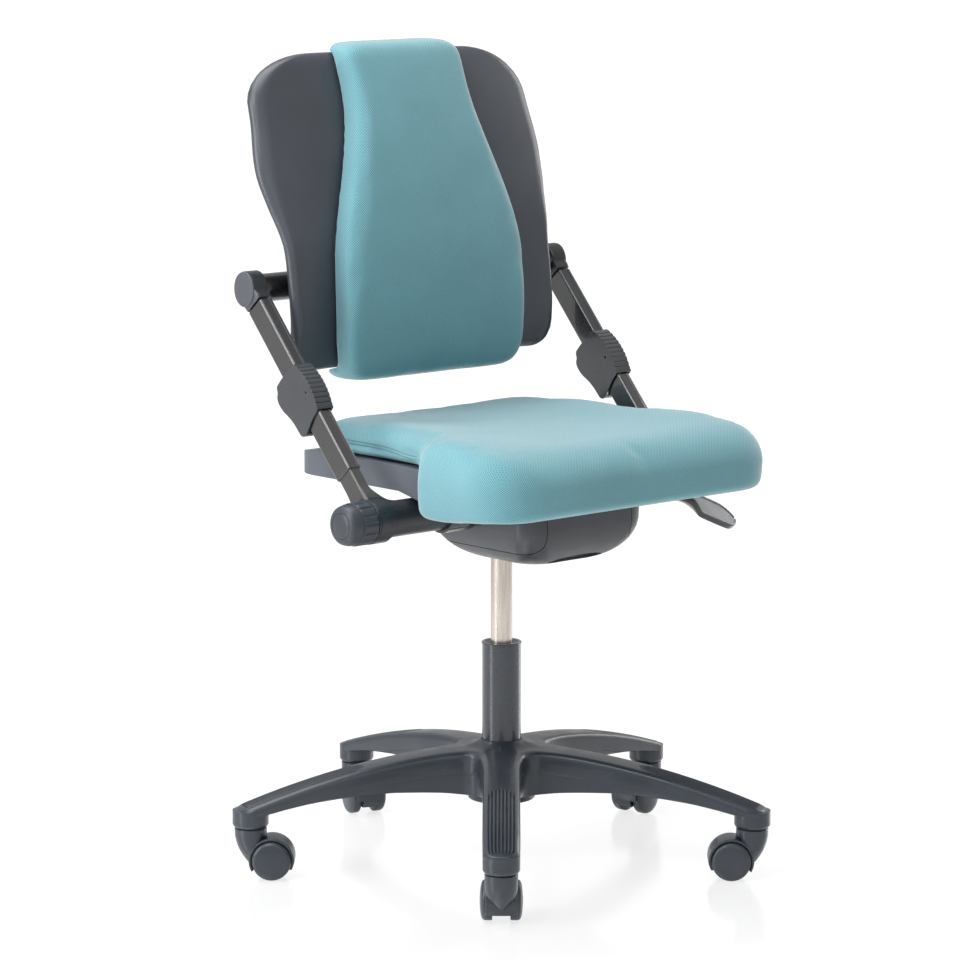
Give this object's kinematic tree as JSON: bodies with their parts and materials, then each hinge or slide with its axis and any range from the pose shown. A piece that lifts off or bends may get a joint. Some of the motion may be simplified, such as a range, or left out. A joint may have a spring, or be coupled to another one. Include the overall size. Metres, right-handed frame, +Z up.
{
  "type": "office chair",
  "caption": "office task chair with a waisted centre pad on a dark winged back, two leaning side bars, a notched seat cushion, a gas column and a moulded star base on twin-wheel casters",
  "frame": {"origin": "on the floor under the middle of the gas column", "axes": "+Z up, the front of the chair faces -Y, +X towards the left hand of a person sitting in it"},
  "size_m": [0.6797, 0.6698, 1.049],
  "materials": {
    "base_plastic": "moulded, fine grain, satin",
    "dark_plastic": "moulded, satin",
    "black_paint": "black powder coat",
    "bar_metal": "dark grey powder coat",
    "steel": "satin ground",
    "bearing_steel": "ground",
    "bush_plastic": "natural",
    "rubber": "matt",
    "teal_fabric": "fine woven wool-like cloth over foam",
    "dark_skin": "soft grained dark skin over foam"
  },
  "bodies": {
    "base": {"star_base": "base_plastic", "column_tube": "dark_plastic", "column_ring": "steel", "guide_bush": "dark_plastic"},
    "column_rod": {"piston_rod": "steel", "thrust_bearing": "bearing_steel"},
    "mechanism": {"pressure_tube": "steel", "mechanism_block": "bar_metal", "pivot_bushes": "bush_plastic", "torsion_sleeve": "rubber", "housing_tray": "base_plastic", "housing_side_left": "base_plastic", "housing_side_right": "base_plastic", "paddle_pin": "steel"},
    "paddle": {"height_paddle": "dark_plastic"},
    "rocker": {"cross_tube": "base_plastic", "elbow_left": "base_plastic", "elbow_right": "base_plastic", "seat_carrier": "bar_metal"},
    "knob_left": {"knob_left": "dark_plastic"},
    "knob_right": {"knob_right": "dark_plastic"},
    "seat": {"seat_pan": "base_plastic", "seat_cushion": "teal_fabric"},
    "back_frame": {"sleeve_left": "bar_metal", "sleeve_right": "bar_metal", "crossbar": "black_paint", "cap_left": "base_plastic", "cap_right": "base_plastic"},
    "clamp_left": {"clamp_left": "dark_plastic"},
    "clamp_right": {"clamp_right": "dark_plastic"},
    "backrest": {"back_bracket": "bar_metal", "back_cover": "base_plastic", "back_body": "dark_skin", "back_pad": "teal_fabric"},
    "caster_1": {"caster_hood_1": "base_plastic", "caster_pins_1": "steel"},
    "wheel_1_left": {"wheel_1_left": "dark_plastic"},
    "wheel_1_right": {"wheel_1_right": "dark_plastic"},
    "caster_2": {"caster_hood_2": "base_plastic", "caster_pins_2": "steel"},
    "wheel_2_left": {"wheel_2_left": "dark_plastic"},
    "wheel_2_right": {"wheel_2_right": "dark_plastic"},
    "caster_3": {"caster_hood_3": "base_plastic", "caster_pins_3": "steel"},
    "wheel_3_left": {"wheel_3_left": "dark_plastic"},
    "wheel_3_right": {"wheel_3_right": "dark_plastic"},
    "caster_4": {"caster_hood_4": "base_plastic", "caster_pins_4": "steel"},
    "wheel_4_left": {"wheel_4_left": "dark_plastic"},
    "wheel_4_right": {"wheel_4_right": "dark_plastic"},
    "caster_5": {"caster_hood_5": "base_plastic", "caster_pins_5": "steel"},
    "wheel_5_left": {"wheel_5_left": "dark_plastic"},
    "wheel_5_right": {"wheel_5_right": "dark_plastic"}
  },
  "joints": [
    {"name": "swivel", "type": "hinge", "parent": "base", "child": "column_rod", "pos_m": [0, 0, 0.2], "axis": [0, 0, 1], "continuous": true},
    {"name": "seat_height", "type": "slide", "parent": "column_rod", "child": "mechanism", "axis": [0, 0, 1], "range_m": [-0.105, 0.02]},
    {"name": "rock", "type": "hinge", "parent": "mechanism", "child": "rocker", "pos_m": [0, -0.05, 0.477], "axis": [-1, 0, 0], "range_deg": [-3, 12], "stiffness_Nm_per_rad": 220},
    {"name": "seat_depth", "type": "slide", "parent": "rocker", "child": "seat", "axis": [0, -1, 0], "range_m": [-0.01, 0.03]},
    {"name": "back_height", "type": "slide", "parent": "rocker", "child": "back_frame", "axis": [0, 0.6652, 0.7466], "range_m": [-0.02, 0.06]},
    {"name": "back_tilt", "type": "hinge", "parent": "back_frame", "child": "backrest", "pos_m": [0, 0.18815, 0.7443], "axis": [-1, 0, 0], "range_deg": [-8, 12]},
    {"name": "clamp_left_release", "type": "hinge", "parent": "back_frame", "child": "clamp_left", "pos_m": [0.256, 0.07042, 0.62418], "axis": [1, 0, 0], "range_deg": [0, 2.5], "stiffness_Nm_per_rad": 2, "springref_deg": -1.15},
    {"name": "clamp_right_release", "type": "hinge", "parent": "back_frame", "child": "clamp_right", "pos_m": [-0.256, 0.07042, 0.62418], "axis": [1, 0, 0], "range_deg": [0, 2.5], "stiffness_Nm_per_rad": 2, "springref_deg": -1.15},
    {"name": "tension_knob", "type": "hinge", "parent": "rocker", "child": "knob_right", "pos_m": [-0.29, -0.05, 0.477], "axis": [-1, 0, 0], "range_deg": [-135, 135]},
    {"name": "lock_knob", "type": "hinge", "parent": "rocker", "child": "knob_left", "pos_m": [0.29, -0.05, 0.477], "axis": [1, 0, 0], "range_deg": [0, 90]},
    {"name": "height_release", "type": "hinge", "parent": "mechanism", "child": "paddle", "pos_m": [0.084, -0.128, 0.472], "axis": [0, -1, 0], "range_deg": [0, 4], "stiffness_Nm_per_rad": 1.5, "springref_deg": -2.86},
    {"name": "caster_1_swivel", "type": "hinge", "parent": "base", "child": "caster_1", "pos_m": [-0.22416, -0.24895, 0.06], "axis": [0, 0, 1], "continuous": true},
    {"name": "wheel_1_left_roll", "type": "hinge", "parent": "caster_1", "child": "wheel_1_left", "pos_m": [-0.20609, -0.22889, 0.025], "axis": [-0.7431, 0.6691, 0], "continuous": true},
    {"name": "wheel_1_right_roll", "type": "hinge", "parent": "caster_1", "child": "wheel_1_right", "pos_m": [-0.20609, -0.22889, 0.025], "axis": [-0.7431, 0.6691, 0], "continuous": true},
    {"name": "caster_2_swivel", "type": "hinge", "parent": "base", "child": "caster_2", "pos_m": [0.1675, -0.29012, 0.06], "axis": [0, 0, 1], "continuous": true},
    {"name": "wheel_2_left_roll", "type": "hinge", "parent": "caster_2", "child": "wheel_2_left", "pos_m": [0.14744, -0.27205, 0.025], "axis": [-0.6691, -0.7431, 0], "continuous": true},
    {"name": "wheel_2_right_roll", "type": "hinge", "parent": "caster_2", "child": "wheel_2_right", "pos_m": [0.14744, -0.27205, 0.025], "axis": [-0.6691, -0.7431, 0], "continuous": true},
    {"name": "caster_3_swivel", "type": "hinge", "parent": "base", "child": "caster_3", "pos_m": [0.32768, 0.06965, 0.06], "axis": [0, 0, 1], "continuous": true},
    {"name": "wheel_3_left_roll", "type": "hinge", "parent": "caster_3", "child": "wheel_3_left", "pos_m": [0.30137, 0.06358, 0.025], "axis": [0.225, -0.9744, 0], "continuous": true},
    {"name": "wheel_3_right_roll", "type": "hinge", "parent": "caster_3", "child": "wheel_3_right", "pos_m": [0.30137, 0.06358, 0.025], "axis": [0.225, -0.9744, 0], "continuous": true},
    {"name": "caster_4_swivel", "type": "hinge", "parent": "base", "child": "caster_4", "pos_m": [0.03502, 0.33316, 0.06], "axis": [0, 0, 1], "continuous": true},
    {"name": "wheel_4_left_roll", "type": "hinge", "parent": "caster_4", "child": "wheel_4_left", "pos_m": [0.02578, 0.30779, 0.025], "axis": [0.9397, -0.342, 0], "continuous": true},
    {"name": "wheel_4_right_roll", "type": "hinge", "parent": "caster_4", "child": "wheel_4_right", "pos_m": [0.02578, 0.30779, 0.025], "axis": [0.9397, -0.342, 0], "continuous": true},
    {"name": "caster_5_swivel", "type": "hinge", "parent": "base", "child": "caster_5", "pos_m": [-0.30604, 0.13626, 0.06], "axis": [0, 0, 1], "continuous": true},
    {"name": "wheel_5_left_roll", "type": "hinge", "parent": "caster_5", "child": "wheel_5_left", "pos_m": [-0.28597, 0.11819, 0.025], "axis": [0.6691, 0.7431, 0], "continuous": true},
    {"name": "wheel_5_right_roll", "type": "hinge", "parent": "caster_5", "child": "wheel_5_right", "pos_m": [-0.28597, 0.11819, 0.025], "axis": [0.6691, 0.7431, 0], "continuous": true}
  ]
}
